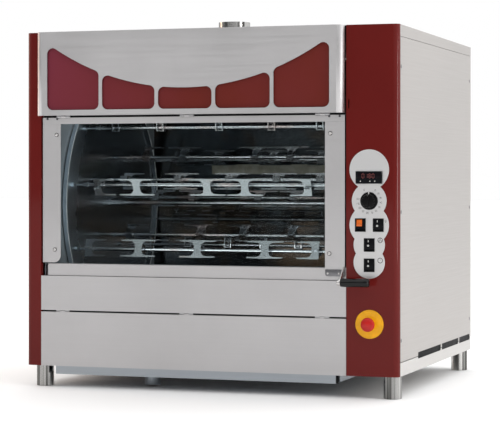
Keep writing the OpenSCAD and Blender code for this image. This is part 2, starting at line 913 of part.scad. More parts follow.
module drip_tray() {
    y0 = lip_y + lip_d;
    y1 = lip_y + tray_depth;
    spigot_x = xmid - 160;
    spigot_y = yf + 112;
    color("slategray")
        difference() {
            union() {
                difference() {
                    span([xtl, lip_y, zb - tray_h], [xtr, y0, zb - 0.6]);
                    span([xtl - 1, lip_y + skin, zb - tray_h + skin], [xtr + 1, y0 - skin, zb - 2]);
                }
                difference() {
                    span([xtl + 2, y0 - skin, zb - tray_h], [xtr - 2, y1, zb - 3]);
                    span([xtl + 3.5, y0, zb - tray_h + skin], [xtr - 3.5, y1 - skin, zb]);
                }
                for (side = [[xtl - 8, xtl + 3.5], [xtr - 3.5, xtr + 8]])
                    span([side[0], yf + 64, zb - 4.5], [side[1], y1, zb - 3]);
                translate([spigot_x, spigot_y, zb - 57]) cylinder(r = 24, h = 57 - tray_h + skin);
            }
            translate([spigot_x, spigot_y, zb - 54]) cylinder(r = 22, h = 60);
        }
}

// ---- Controls ----

module control_holes() {
    y0 = yf - plate_t - 1;
    y1 = yf + skin + 1;
    span([xc - display_w / 2 + 3, y0, display_z - display_h / 2 + 3],
         [xc + display_w / 2 - 3, y1, display_z + display_h / 2 - 3]);
    for (p = ROCKERS)
        span([p[0] - bezel_w / 2 + 2, y0, p[1] - bezel_h / 2 + 2],
             [p[0] + bezel_w / 2 - 2, y1, p[1] + bezel_h / 2 - 2]);
    bar_y(y0, y1, xc, knob_z, 4.5);
    bar_y(y0, y1, stop_x, stop_z, 11.5);
}

module control_plate() {
    color("silver")
        difference() {
            translate([xc, yf - 0.05, zb]) rotate([90, 0, 0]) linear_extrude(plate_t)
                for (lobe = PLATE_LOBES) translate([0, lobe[0]]) circle(lobe[1]);
            control_holes();
        }
}

module display() {
    front = yf - plate_t - 5;
    color("black")
        difference() {
            union() {
                span([xc - display_w / 2, front, display_z - display_h / 2],
                     [xc + display_w / 2, yf - plate_t - 0.1, display_z + display_h / 2]);
                span([xc - display_w / 2 + 3.2, front + 1, display_z - display_h / 2 + 3.2],
                     [xc + display_w / 2 - 3.2, yf + 55, display_z + display_h / 2 - 3.2]);
            }
            span([xc - display_w / 2 + 5, front - 1, display_z - display_h / 2 + 13],
                 [xc + display_w / 2 - 5, front + 1, display_z + display_h / 2 - 4]);
            for (x = BUTTONS) bar_y(front - 1, front + 4, xc + x, button_z, button_r + 0.1);
        }
}

module display_button(i) {
    front = yf - plate_t - 5;
    color("dimgray") bar_y(front - 0.8, front + 2, xc + BUTTONS[i], button_z, button_r);
}

module switch_bezels() {
    front = yf - plate_t;
    color("black")
        for (p = ROCKERS)
            difference() {
                union() {
                    span([p[0] - bezel_w / 2, front - 2.5, p[1] - bezel_h / 2],
                         [p[0] + bezel_w / 2, front - 0.1, p[1] + bezel_h / 2]);
                    span([p[0] - bezel_w / 2 + 2.2, front - 1, p[1] - bezel_h / 2 + 2.2],
                         [p[0] + bezel_w / 2 - 2.2, front + 24, p[1] + bezel_h / 2 - 2.2]);
                }
                span([p[0] - rocker_w / 2 - 0.4, front - 3, p[1] - rocker_h / 2 - 0.6],
                     [p[0] + rocker_w / 2 + 0.4, front + 14, p[1] + rocker_h / 2 + 0.6]);
            }
}

// A rocker at rest has its upper half pressed in
module rocker(i) {
    p = ROCKERS[i];
    half = rocker_h / 2;
    color("black")
        translate([p[0] - rocker_w / 2, yf + 3, p[1]]) rotate([-rocker_tilt, 0, 0])
            difference() {
                rotate([90, 0, 90]) linear_extrude(rocker_w)
                    polygon([[0, -half + 3], [-7.5, -half + 1], [-6, 0], [-7.5, half - 1],
                             [0, half - 3], [5, 5], [5, -5]]);
                bar_x(-1, rocker_w + 1, 0, 0, 1.5, $fn = 24);
            }
}

module timer_knob() {
    front = yf - plate_t;
    color("black")
        difference() {
            union() {
                bar_y(front - knob_d, front - 0.4, xc, knob_z, knob_r - 5);
                bar_y(front - 4, front - 0.4, xc, knob_z, knob_r);
                bar_y(front - 1, yf + 25, xc, knob_z, 3.9);
            }
            for (i = [0:17]) {
                a = i * 20 + 10;
                bar_y(front - knob_d - 1, front - 4, xc + (knob_r - 3.8) * cos(a),
                      knob_z + (knob_r - 3.8) * sin(a), 2, $fn = 24);
            }
        }
}

module stop_plate() {
    color("gold")
        difference() {
            union() {
                bar_y(yf - 3, yf - 0.1, stop_x, stop_z, stop_plate_r);
                bar_y(yf - 12, yf - 2, stop_x, stop_z, 15);
                bar_y(yf - 4, yf + 30, stop_x, stop_z, 11.3);
            }
            bar_y(yf - 20, yf + 20, stop_x, stop_z, 6 + fit);
        }
}

module stop_mushroom() {
    color("red")
        translate([stop_x, 0, stop_z]) rotate([90, 0, 0]) rotate_extrude()
            polygon(concat([[0, -yf - 10], [6, -yf - 10], [6, -yf + 18],
                            [mushroom_r - 3, -yf + 18], [mushroom_r, -yf + 20]],
                [for (a = [0:15:90]) [mushroom_r * cos(a), -yf + 24 + 7 * sin(a)]]));
}

base_frame();
feet();
left_side_panel();
right_side_panel();
rear_panel();
top_cover();
exhaust_stub();
left_column();
right_column();
hood_panel();
hood_backing();
cavity_liner();
sill();
upper_fascia();
panel_hinges();
heating_elements();
rear_lamp_bar();
planet_tracks();
shaft_bearings();
gear_motor();
drive_chain();
cable_gland();
control_plate();
display();
switch_bezels();
stop_plate();
left_disc();
right_disc();
centre_shaft();
shaft_sprocket();
motor_sprocket();
door_rails();
door_glass();
door_handle();
lower_flap();
drip_tray();
timer_knob();
rocker(0);  // power_rocker
rocker(1);  // light_rocker
rocker(2);  // rotor_rocker
rocker(3);  // heat_rocker
stop_mushroom();
display_button(0);  // display_button_1
display_button(1);  // display_button_2
display_button(2);  // display_button_3
for (i = [0:OUTER_COUNT - 1])
    outer_spit(i);
for (i = [0:INNER_COUNT - 1])
    inner_spit(i);
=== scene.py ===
"""Planetary rotisserie oven: materials, trim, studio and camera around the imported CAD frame."""
import math

import bmesh
import bpy
from mathutils import Matrix, Vector
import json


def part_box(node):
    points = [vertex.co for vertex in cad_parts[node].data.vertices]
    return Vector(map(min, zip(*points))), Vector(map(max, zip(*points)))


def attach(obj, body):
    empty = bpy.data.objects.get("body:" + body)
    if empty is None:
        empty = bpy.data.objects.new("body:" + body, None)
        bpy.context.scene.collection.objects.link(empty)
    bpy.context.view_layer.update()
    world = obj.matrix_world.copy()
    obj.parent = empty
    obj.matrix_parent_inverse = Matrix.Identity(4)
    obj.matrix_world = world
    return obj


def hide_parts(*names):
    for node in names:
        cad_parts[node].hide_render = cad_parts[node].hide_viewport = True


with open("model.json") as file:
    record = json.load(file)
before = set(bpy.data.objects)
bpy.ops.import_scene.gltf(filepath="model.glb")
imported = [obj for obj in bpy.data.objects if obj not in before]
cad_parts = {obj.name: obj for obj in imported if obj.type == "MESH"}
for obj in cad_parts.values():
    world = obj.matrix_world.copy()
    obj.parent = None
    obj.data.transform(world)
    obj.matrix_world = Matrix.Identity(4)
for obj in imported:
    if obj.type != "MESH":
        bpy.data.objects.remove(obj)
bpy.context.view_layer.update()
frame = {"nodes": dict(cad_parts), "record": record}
NODES = frame["nodes"]
scene = bpy.context.scene
MM = 0.001
SHARP_ANGLE = math.radians(35)            # edges sharper than this are shaded crisp or rounded


# ---------------------------------------------------------------- camera

def make_camera():
    """A level camera at the right front of the oven, turned a little to the left."""
    data = bpy.data.cameras.new("camera")
    camera = bpy.data.objects.new("camera", data)
    scene.collection.objects.link(camera)
    data.lens = 138.5
    data.sensor_width = 36.0
    data.shift_y = -0.078
    data.clip_start = 0.1
    data.clip_end = 60.0
    camera.location = (1.9294, -5.7234, 0.6347)
    camera.rotation_euler = (math.radians(90), 0, math.radians(18.8))
    scene.camera = camera


make_camera()


# ---------------------------------------------------------------- materials

def shader_material(name, **sockets):
    """A material with one Principled shader; sockets are its input names with _ for spaces."""
    material = bpy.data.materials.new(name)
    material.use_nodes = True
    shader = material.node_tree.nodes["Principled BSDF"]
    for key, value in sockets.items():
        shader.inputs[key.replace("_", " ")].default_value = value
    return material, material.node_tree, shader


def noise(tree, scale, stretch=(1, 1, 1), detail=4.0, roughness=0.55):
    """Noise in the object's own metres; stretch squeezes it along each axis."""
    place = tree.nodes.new("ShaderNodeTexCoord")
    mapping = tree.nodes.new("ShaderNodeMapping")
    texture = tree.nodes.new("ShaderNodeTexNoise")
    mapping.inputs["Scale"].default_value = stretch
    texture.inputs["Scale"].default_value = scale
    texture.inputs["Detail"].default_value = detail
    texture.inputs["Roughness"].default_value = roughness
    tree.links.new(place.outputs["Object"], mapping.inputs["Vector"])
    tree.links.new(mapping.outputs["Vector"], texture.inputs["Vector"])
    return texture.outputs["Fac"]


def remap(tree, value, low, high, new_low, new_high):
    node = tree.nodes.new("ShaderNodeMapRange")
    for key, number in (("From Min", low), ("From Max", high), ("To Min", new_low), ("To Max", new_high)):
        node.inputs[key].default_value = number
    tree.links.new(value, node.inputs["Value"])
    return node.outputs["Result"]


def combined(tree, operation, first, second):
    """Two values put together by a math operation, such as ADD or MULTIPLY."""
    node = tree.nodes.new("ShaderNodeMath")
    node.operation = operation
    tree.links.new(first, node.inputs[0])
    tree.links.new(second, node.inputs[1])
    return node.outputs[0]


def coordinate(tree, axis):
    """One coordinate, X, Y or Z, in the object's own metres."""
    place = tree.nodes.new("ShaderNodeTexCoord")
    split = tree.nodes.new("ShaderNodeSeparateXYZ")
    tree.links.new(place.outputs["Object"], split.inputs["Vector"])
    return split.outputs[axis]


def blend_colours(tree, factor, first, second):
    """A mix of two colours; each is given as a colour or as a socket that makes one."""
    node = tree.nodes.new("ShaderNodeMix")
    node.data_type = "RGBA"
    tree.links.new(factor, node.inputs["Factor"])
    sockets = [s for s in node.inputs if s.type == "RGBA"]
    for socket, colour in zip(sockets, (first, second)):
        if isinstance(colour, bpy.types.NodeSocket):
            tree.links.new(colour, socket)
        else:
            socket.default_value = (*colour, 1)
    return [s for s in node.outputs if s.type == "RGBA"][0]


def bump(tree, shader, height, strength, distance):
    node = tree.nodes.new("ShaderNodeBump")
    node.inputs["Strength"].default_value = strength
    node.inputs["Distance"].default_value = distance
    tree.links.new(height, node.inputs["Height"])
    tree.links.new(node.outputs["Normal"], shader.inputs["Normal"])


# Grain of brushed sheet along each axis: few streaks per metre along it, many across it
GRAIN_X = (3, 260, 260)
GRAIN_Y = (260, 3, 260)
GRAIN_Z = (260, 260, 3)
FINE_GRAIN_X = (3, 400, 400)


def tinted(colour, amount):
    return tuple(min(1.0, c * amount) for c in colour)


def mottled(tree, pattern, low, high, colour, darkest, palest):
    """The colour, from darkest to palest times itself while the pattern goes from low to high."""
    amount = remap(tree, pattern, low, high, 0, 1)
    return blend_colours(tree, amount, tinted(colour, darkest), tinted(colour, palest))


def brushed_steel(name, colour, rough, grain=GRAIN_X, wear=0.06, relief=0.10):
    """Brushed sheet: streaks along the grain, soft smudges in colour and gloss."""
    material, tree, shader = shader_material(name, Metallic=1.0)
    streaks = noise(tree, 1.0, grain, 3.0)
    smudges = noise(tree, 2.2, (1, 1, 1), 5.0)
    tree.links.new(mottled(tree, smudges, 0.3, 0.7, colour, 1 - wear, 1 + wear), shader.inputs["Base Color"])
    brushing = remap(tree, streaks, 0.3, 0.7, -0.05, 0.05)
    smearing = remap(tree, smudges, 0.3, 0.7, rough - 0.03, rough + 0.04)
    tree.links.new(combined(tree, "ADD", brushing, smearing), shader.inputs["Roughness"])
    bump(tree, shader, streaks, relief, 0.0002)
    return material


def polished_steel(name, colour, rough, stain=(0.30, 0.22, 0.16), stain_amount=0.35, wave=0.02,
                   spot_scale=14.0, spot_detail=6.0, rough_spread=0.14):
    """Polished or baked-on steel: heat stains, fine scratches and a slightly wavy mirror."""
    material, tree, shader = shader_material(name, Metallic=1.0)
    spots = noise(tree, spot_scale, (1, 1, 1), spot_detail, 0.65)
    scratches = noise(tree, 1.0, (25, 900, 900), 2.0)
    stained = blend_colours(tree, remap(tree, spots, 0.56, 0.78, 0, stain_amount), colour, stain)
    tree.links.new(stained, shader.inputs["Base Color"])
    dulled = remap(tree, spots, 0.35, 0.75, rough - 0.03, rough + rough_spread)
    scratched = remap(tree, scratches, 0.3, 0.7, -0.03, 0.03)
    tree.links.new(combined(tree, "ADD", dulled, scratched), shader.inputs["Roughness"])
    bump(tree, shader, noise(tree, 5.0, (1, 1, 1), 2.0), wave, 0.01)
    return material


def reflection_streaked_tube(name, dark, pale):
    """Polished upright tube: long dark and pale streaks along Z in its colour, which are painted reflections
    of the room round it.
    """
    material, tree, shader = shader_material(name, Metallic=1.0)
    # painted reflections: the streaks blend a dark and a pale base colour
    streaks = remap(tree, noise(tree, 1.0, (62, 62, 0.6), 3.0), 0.43, 0.58, 0, 1)
    tree.links.new(blend_colours(tree, streaks, dark, pale), shader.inputs["Base Color"])
    tree.links.new(remap(tree, streaks, 0, 1, 0.12, 0.24), shader.inputs["Roughness"])
    bump(tree, shader, noise(tree, 1.0, (900, 900, 25), 2.0), 0.04, 0.0002)
    return material


def cavity_steel(name, dark, stain, pale, x_lit_wall):
    """Baked-on cavity sheet: dark and stained, but paler and rougher on the side wall at the given x; that
    paler colour is painted light.
    """
    material, tree, shader = shader_material(name, Metallic=1.0)
    # painted light: the side wall gets a pale colour instead of the dark sheet
    wall_painted_light = remap(tree, coordinate(tree, "X"), x_lit_wall + 2.1 * MM, x_lit_wall + 4 * MM, 1, 0)
    spots = remap(tree, noise(tree, 5.0, (1, 1, 1), 6.0, 0.65), 0.45, 0.62, 0, 1)
    baked = blend_colours(tree, spots, dark, stain)
    tree.links.new(blend_colours(tree, wall_painted_light, baked, pale), shader.inputs["Base Color"])
    tree.links.new(remap(tree, wall_painted_light, 0, 1, 0.18, 0.8), shader.inputs["Roughness"])
    bump(tree, shader, noise(tree, 5.0, (1, 1, 1), 2.0), 0.05, 0.01)
    return material


def distance_from_axis(tree, axis_place):
    """Distance in metres from an axis along X through axis_place."""
    place = tree.nodes.new("ShaderNodeTexCoord")
    flat = tree.nodes.new("ShaderNodeVectorMath")
    flat.operation = "MULTIPLY"
    flat.inputs[1].default_value = (0, 1, 1)
    away = tree.nodes.new("ShaderNodeVectorMath")
    away.operation = "DISTANCE"
    away.inputs[1].default_value = (0, axis_place[1], axis_place[2])
    tree.links.new(place.outputs["Object"], flat.inputs[0])
    tree.links.new(flat.outputs["Vector"], away.inputs[0])
    return away.outputs["Value"]


def turned_disc(name, dark, pale, axis_place, rim_radius):
    """Turned steel disc about an axis along X: dark in the middle and paler at the rim's front, which is
    painted light.
    """
    material, tree, shader = shader_material(name, Metallic=1.0, Anisotropic=0.5)
    wander = remap(tree, noise(tree, 7.0, (1, 1, 1), 5.0), 0.3, 0.7, -0.025, 0.025)
    radius = combined(tree, "ADD", distance_from_axis(tree, axis_place), wander)
    # painted light: the colour pales towards the rim and towards the front
    at_rim = remap(tree, radius, rim_radius * 0.66, rim_radius, 0, 1)
    axis_y = axis_place[1]
    at_front = remap(tree, coordinate(tree, "Y"), axis_y - 0.12, axis_y + 0.12, 1, 0.12)
    rim_front_painted_light = combined(tree, "MULTIPLY", at_rim, at_front)
    tree.links.new(blend_colours(tree, rim_front_painted_light, dark, pale), shader.inputs["Base Color"])
    tree.links.new(remap(tree, rim_front_painted_light, 0, 1, 0.22, 0.42), shader.inputs["Roughness"])
    around = tree.nodes.new("ShaderNodeTangent")
    around.direction_type = "RADIAL"
    around.axis = "X"
    tree.links.new(around.outputs["Tangent"], shader.inputs["Tangent"])
    bump(tree, shader, noise(tree, 6.0, (1, 1, 1), 2.0), 0.03, 0.01)
    return material


def gloss_paint(name, colour, rough=0.38, coat=1.0, coat_rough=0.04, peel=0.04):
    """Powder coat under a clear gloss, with a faint orange peel and slight shade changes."""
    material, tree, shader = shader_material(
        name, Coat_Weight=coat, Coat_Roughness=coat_rough, Coat_IOR=1.45, Specular_IOR_Level=0.1)
    shade = noise(tree, 3.0, (1, 1, 1), 3.0)
    tree.links.new(mottled(tree, shade, 0.3, 0.7, colour, 0.92, 1.08), shader.inputs["Base Color"])
    grain = noise(tree, 420.0, (1, 1, 1), 2.0)
    tree.links.new(remap(tree, grain, 0.3, 0.7, rough - 0.05, rough + 0.05), shader.inputs["Roughness"])
    bump(tree, shader, grain, peel, 0.0006)
    return material


def moulded_plastic(name, colour, rough=0.35, grain_scale=900.0, grain=0.08, coat=0.0, gloss=0.25):
    """Moulded plastic: fine spark-eroded grain, slight scuffs."""
    material, tree, shader = shader_material(
        name, Coat_Weight=coat, Coat_Roughness=0.08, Specular_IOR_Level=gloss)
    scuffs = noise(tree, 45.0, (1, 1, 1), 5.0)
    tree.links.new(mottled(tree, scuffs, 0.35, 0.7, colour, 0.9, 1.12), shader.inputs["Base Color"])
    tree.links.new(remap(tree, scuffs, 0.3, 0.75, rough - 0.05, rough + 0.1), shader.inputs["Roughness"])
    bump(tree, shader, noise(tree, grain_scale, (1, 1, 1), 2.0), grain, 0.0002)
    return material


def reflection_graded_backing(name, left, right, across):
    """Gloss paint whose colour shifts from one to another along X, over the given span: a painted reflection
    of bluish light.
    """
    material, tree, shader = shader_material(
        name, Coat_Weight=0.2, Coat_Roughness=0.25, Roughness=0.5, Specular_IOR_Level=0.1)
    along = remap(tree, coordinate(tree, "X"), across[0], across[1], 0, 1)
    wander = remap(tree, noise(tree, 4.0), 0.3, 0.7, -0.12, 0.12)
    # painted reflection: purplish at the left, red-brown at the right
    reflection_drift = combined(tree, "ADD", along, wander)
    tree.links.new(blend_colours(tree, reflection_drift, left, right), shader.inputs["Base Color"])
    bump(tree, shader, noise(tree, 420.0, (1, 1, 1), 2.0), 0.04, 0.0006)
    return material


def clear_glass(name):
    """A thin pane: clear straight through, with a faint gloss and finger smears in it."""
    material = bpy.data.materials.new(name)
    material.use_nodes = True
    tree = material.node_tree
    tree.nodes.remove(tree.nodes["Principled BSDF"])
    out = tree.nodes["Material Output"]
    clear = tree.nodes.new("ShaderNodeBsdfTransparent")
    clear.inputs["Color"].default_value = (0.93, 0.955, 0.95, 1)
    gloss = tree.nodes.new("ShaderNodeBsdfGlossy")
    gloss.inputs["Color"].default_value = (0.9, 0.95, 1.0, 1)
    smears = noise(tree, 6.0, (1, 1, 2.5), 4.0)
    tree.links.new(remap(tree, smears, 0.3, 0.7, 0.02, 0.09), gloss.inputs["Roughness"])
    edge = tree.nodes.new("ShaderNodeFresnel")
    edge.inputs["IOR"].default_value = 1.08
    mix = tree.nodes.new("ShaderNodeMixShader")
    tree.links.new(edge.outputs["Fac"], mix.inputs["Fac"])
    tree.links.new(clear.outputs["BSDF"], mix.inputs[1])
    tree.links.new(gloss.outputs["BSDF"], mix.inputs[2])
    tree.links.new(mix.outputs["Shader"], out.inputs["Surface"])
    return material


def glowing(name, colour, strength, rough=0.3):
    """Lit plastic or display segments, with a little mottling in the glow."""
    material, tree, shader = shader_material(name, Roughness=rough, Emission_Strength=strength)
    mottle = noise(tree, 300.0, (1, 1, 1), 2.0)
    for socket in ("Base Color", "Emission Color"):
        tree.links.new(mottled(tree, mottle, 0.3, 0.7, colour, 0.85, 1.1), shader.inputs[socket])
    return material


hood_low, hood_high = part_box("hood_panel")
JOINTS = {joint["name"]: joint for joint in frame["record"]["behaviour"]["joints"]}
ROTOR_AXIS = JOINTS["rotor_spin"]["pos_m"]
DISC_RADIUS = 0.380
MATERIALS = {
    "brushed_front": brushed_steel("brushed_front", (0.57, 0.56, 0.565), 0.42, relief=0.04),
    "warm_panel": brushed_steel("warm_panel", (0.490, 0.469, 0.454), 0.48, GRAIN_Y, 0.03, 0.03),
    "stainless_plain": brushed_steel("stainless_plain", (0.60, 0.585, 0.57), 0.42, GRAIN_Y),
    # polished_tube: its dark and pale streaks are painted reflections
    "polished_tube": reflection_streaked_tube("polished_tube", (0.10, 0.10, 0.095), (0.66, 0.655, 0.64)),
    "burgundy_paint": gloss_paint("burgundy_paint", (0.118, 0.0056, 0.0042), 0.55, 0.30, 0.05, 0.03),
    # red_backing: the purplish-to-red shift along X is a painted reflection
    "red_backing": reflection_graded_backing("red_backing", (0.18, 0.026, 0.048), (0.130, 0.014, 0.009),
                                  (hood_low.x - 0.05, (hood_low.x + hood_high.x) / 2)),
    # mirror_liner: the pale third colour is painted light on the left wall
    "mirror_liner": cavity_steel("mirror_liner", (0.050, 0.058, 0.065), (0.075, 0.052, 0.034),
                                 (0.48, 0.52, 0.56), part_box("cavity_liner")[0].x),
    # mirror_disc: the pale colour is painted light on the rim's front
    "mirror_disc": turned_disc("mirror_disc", (0.30, 0.33, 0.36), (0.72, 0.80, 0.88),
                               ROTOR_AXIS, DISC_RADIUS),
    "hinge_steel": brushed_steel("hinge_steel", (0.45, 0.45, 0.46), 0.35),
    "element_steel": polished_steel("element_steel", (0.16, 0.15, 0.14), 0.4, (0.10, 0.07, 0.05), 0.6),
    "lamp_glass": moulded_plastic("lamp_glass", (0.36, 0.345, 0.28), 0.25, 60.0, 0.05, 0.5),
    "motor_paint": gloss_paint("motor_paint", (0.07, 0.09, 0.12), 0.45, 0.3, 0.2, 0.1),
    "chain_steel": polished_steel("chain_steel", (0.20, 0.20, 0.21), 0.35, (0.08, 0.06, 0.04), 0.6),
    "black_plastic": moulded_plastic("black_plastic", (0.004, 0.005, 0.007), 0.36, gloss=0.10),
    "control_steel": brushed_steel("control_steel", (0.71, 0.705, 0.705), 0.42, FINE_GRAIN_X, wear=0.03),
    "yellow_plastic": moulded_plastic("yellow_plastic", (0.86, 0.42, 0.006), 0.42, 700.0, 0.05, 0.15),
    "spit_steel": polished_steel("spit_steel", (0.40, 0.425, 0.45), 0.24, (0.48, 0.31, 0.26), 0.6, 0.001,
                                 spot_scale=7.0, spot_detail=1.0, rough_spread=0.03),
    "clear_glass": clear_glass("clear_glass"),
    "grip_plastic": moulded_plastic("grip_plastic", (0.002, 0.002, 0.0025), 0.14, 500.0, 0.02, 0.40, 0.10),
    "tray_steel": brushed_steel("tray_steel", (0.42, 0.455, 0.49), 0.40),
    "knob_plastic": moulded_plastic("knob_plastic", (0.003, 0.003, 0.0035), 0.30, gloss=0.12),
    "lit_rocker": glowing("lit_rocker", (0.62, 0.115, 0.006), 0.16),
    "rocker_plastic": moulded_plastic("rocker_plastic", (0.004, 0.004, 0.0055), 0.30, grain=0.02, gloss=0.12),
    "red_plastic": moulded_plastic("red_plastic", (0.47, 0.009, 0.006), 0.34, 600.0, 0.03, 0.3),
}
PRINT_BLACK = moulded_plastic("print_black", (0.004, 0.004, 0.004), 0.5, gloss=0.1)
PRINT_WHITE = moulded_plastic("print_white", (0.80, 0.80, 0.78), 0.5)
PRINT_GREY = moulded_plastic("print_grey", (0.008, 0.008, 0.008), 0.5, gloss=0.1)
SCREEN = moulded_plastic("screen", (0.008, 0.006, 0.008), 0.12, 900.0, 0.02, 0.0, 0.06)
DIGITS = glowing("digits", (0.13, 0.026, 0.024), 0.15)
SCREW_STEEL = polished_steel("screw_steel", (0.62, 0.61, 0.60), 0.22, stain_amount=0.1)
# near-white ring on the disc's edge: painted highlight
RIM_HIGHLIGHT = moulded_plastic("rim_painted_highlight", (0.86, 0.88, 0.91), 0.35, 60.0, 0.02, 0.3, 0.6)
# near-black matt finish for sheets and rings put where there is shade: painted shade
SHADE_BLACK = moulded_plastic("painted_shade_black", (0.004, 0.004, 0.005), 0.7)
DARK_STEEL = polished_steel("dark_steel", (0.10, 0.10, 0.11), 0.35, stain_amount=0.2)
# dark steel for the door bracket: painted shade
BRACKET_SHADE_STEEL = brushed_steel("bracket_shade_steel", (0.20, 0.20, 0.21), 0.36, GRAIN_Z)


def dress_nodes():
    """Gives every CAD node its slot's material."""
    slot_of = {row["node"]: row["material_slot"] for row in frame["record"]["subparts"]}
    for name, node in NODES.items():
        material = MATERIALS[slot_of[name]]
        node.data.materials.clear()
        node.data.materials.append(material)


dress_nodes()


def soften(name, radius):
    """Welds a CAD node's face edges together and rounds its folds by radius."""
    node = NODES[name]
    weld = node.modifiers.new("weld", "WELD")
    weld.merge_threshold = 0.02 * MM
    rounding = node.modifiers.new("folds", "BEVEL")
    rounding.width = radius
    rounding.segments = 2
    rounding.limit_method = "ANGLE"
    rounding.angle_limit = SHARP_ANGLE
    rounding.harden_normals = True


# ---------------------------------------------------------------- mesh helpers

def add_piece(name, mesh, body, material, smooth=True):
    """Puts a finished bmesh in the scene as a piece that rides on a body."""
    data = bpy.data.meshes.new(name)
    mesh.to_mesh(data)
    mesh.free()
    piece = bpy.data.objects.new(name, data)
    scene.collection.objects.link(piece)
    data.materials.append(material)
    if smooth:
        data.shade_smooth()
        data.set_sharp_from_angle(angle=SHARP_ANGLE)
    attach(piece, body)
    return piece


def turn_to(direction):
    """The rotation that takes +Z to the given direction."""
    return Vector((0, 0, 1)).rotation_difference(Vector(direction)).to_matrix().to_4x4()


def ring_of_points(place, radius, height, steps, flutes, depth):
    """Points round the axis at one height; flutes make hollows of the given share of the radius."""
    points = []
    for i in range(steps):
        a = 2 * math.pi * i / steps
        r = radius * (1 - depth * max(0.0, math.cos(flutes * a)) ** 2) if flutes else radius
        points.append(place @ Vector((r * math.cos(a), r * math.sin(a), height)))
    return points


def add_lathe(mesh, profile, place, direction, steps=32, flutes=0, depth=0.0):
    """Turns (radius, height) points about an axis through place along direction."""
    axis_frame = Matrix.Translation(place) @ turn_to(direction)
    rings = []
    for radius, height in profile:
        if radius:
            points = ring_of_points(axis_frame, radius, height, steps, flutes, depth)
        else:
            points = [axis_frame @ Vector((0, 0, height))]
        rings.append([mesh.verts.new(point) for point in points])
    for lower, upper in zip(rings, rings[1:]):
        for i in range(steps):
            j = (i + 1) % steps
            if len(lower) == 1:
                mesh.faces.new((lower[0], upper[i], upper[j]))
            elif len(upper) == 1:
                mesh.faces.new((lower[i], lower[j], upper[0]))
            else:
                mesh.faces.new((lower[i], lower[j], upper[j], upper[i]))


def add_slab(mesh, low, high):
    """A closed box between two corners."""
    corners = [mesh.verts.new((x, y, z))
               for x in (low[0], high[0]) for y in (low[1], high[1]) for z in (low[2], high[2])]
    for face in ((0, 1, 3, 2), (4, 6, 7, 5), (0, 4, 5, 1), (2, 3, 7, 6), (0, 2, 6, 4), (1, 5, 7, 3)):
        mesh.faces.new([corners[i] for i in face])


def rectangle(left, right, bottom, top):
    return [(left, bottom), (right, bottom), (right, top), (left, top)]


def add_prism(mesh, near, far):
    """A closed solid between two outlines with the same number of points."""
    near = [mesh.verts.new(point) for point in near]
    far = [mesh.verts.new(point) for point in far]
    mesh.faces.new(near)
    mesh.faces.new(list(reversed(far)))
    for i in range(len(near)):
        j = (i + 1) % len(near)
        mesh.faces.new((near[i], far[i], far[j], near[j]))


def add_plate_on_front(mesh, outline, y, thickness):
    """A thin plate facing -Y from an outline of (x, z) points in order."""
    add_prism(mesh, [(x, y - thickness, z) for x, z in outline], [(x, y, z) for x, z in outline])


def finished(mesh, radius=0.0, segments=2):
    """Faces turned outwards and, if asked, every sharp edge rounded."""
    bmesh.ops.recalc_face_normals(mesh, faces=mesh.faces)
    if radius:
        edges = [e for e in mesh.edges if e.is_manifold and e.calc_face_angle() > math.radians(30)]
        bmesh.ops.bevel(mesh, geom=edges, offset=radius, segments=segments, profile=0.5, affect="EDGES")
    return mesh


def middle(name):
    low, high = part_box(name)
    return (low + high) / 2


# ---------------------------------------------------------------- door

def domed_head(r):
    """Profile of a domed screw head with a small drive recess."""
    return [(r, 0), (r, 0.22 * r), (0.90 * r, 0.48 * r), (0.68 * r, 0.68 * r), (0.40 * r, 0.78 * r),
            (0.30 * r, 0.78 * r), (0.26 * r, 0.45 * r), (0, 0.42 * r)]


def add_screws_on_shadow_rings(name, places, body, radius):
    """Domed screws facing -Y, each on a thin dark ring that is a painted shadow round the head."""
    add_turned(name, [(place, domed_head(radius)) for place in places], body, SCREW_STEEL)
    # painted shadow: a dark ring under each head
    shadow_ring = [(radius + 1.1 * MM, 0), (radius + 1.1 * MM, 0.25 * MM), (radius - 0.4 * MM, 0.3 * MM)]
    add_turned(name + "_shadow_rings", [(place, shadow_ring) for place in places], body, SHADE_BLACK)


def add_turned(name, parts, body, material):
    """Several small turned parts facing -Y, as one piece; parts are (place, profile)."""
    mesh = bmesh.new()
    for place, profile in parts:
        add_lathe(mesh, profile, place, (0, -1, 0), 24)
    return add_piece(name, finished(mesh), body, material)


def corner_arc(cx, cz, r, start):
    """A quarter circle of (x, z) points about cx, cz, from the start angle in degrees."""
    angles = [math.radians(start + 15 * i) for i in range(7)]
    return [(cx + r * math.cos(a), cz + r * math.sin(a)) for a in angles]


def make_bracket_cover(low, high):
    """The plain folded bracket under the right rail, a little proud of it, with rounded lower corners; its
    dark steel colour is painted shade.
    """
    left_x, right_x = high.x - 58 * MM, high.x - 8 * MM
    bottom, top = low.z + 0.6 * MM, low.z + 20 * MM
    r = 7 * MM
    outline = corner_arc(left_x + r, bottom + r, r, 180) + corner_arc(right_x - r, bottom + r, r, 270)
    mesh = bmesh.new()
    add_plate_on_front(mesh, outline + [(right_x, top), (left_x, top)], low.y, 1 * MM)
    add_piece("bracket_cover", finished(mesh, 0.3 * MM), "door", BRACKET_SHADE_STEEL)


